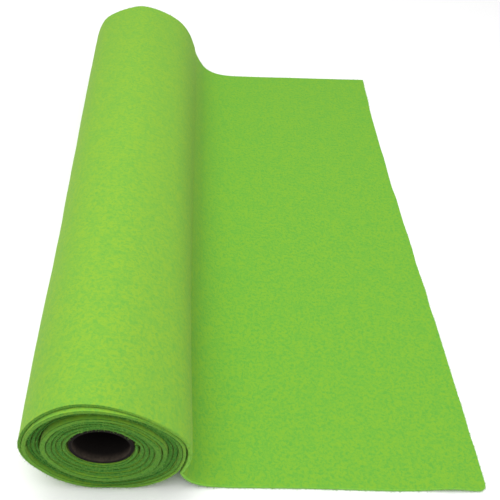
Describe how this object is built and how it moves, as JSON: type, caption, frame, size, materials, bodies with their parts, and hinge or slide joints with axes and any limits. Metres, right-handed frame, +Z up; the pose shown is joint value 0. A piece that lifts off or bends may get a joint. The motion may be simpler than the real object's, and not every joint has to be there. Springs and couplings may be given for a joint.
{
  "type": "roll of felt",
  "caption": "Wide roll of soft felt wound on a cardboard tube, with the loose end of the cloth laid out flat beside the roll.",
  "frame": {"origin": "on the table, under the middle of the tube's axis, in the roll's flat underside", "axes": "+Z up; +Y along the tube, away from the end that shows the turns; +X from the roll towards the loose edge of the cloth"},
  "size_m": [0.2752, 0.4514, 0.0894],
  "materials": {
    "felt": "soft pressed felt, lime green, matt and slightly fuzzy",
    "core": "grey-brown spiral-wound cardboard, matt"
  },
  "bodies": {
    "root": {"felt": "felt", "core": "core"}
  },
  "joints": []
}
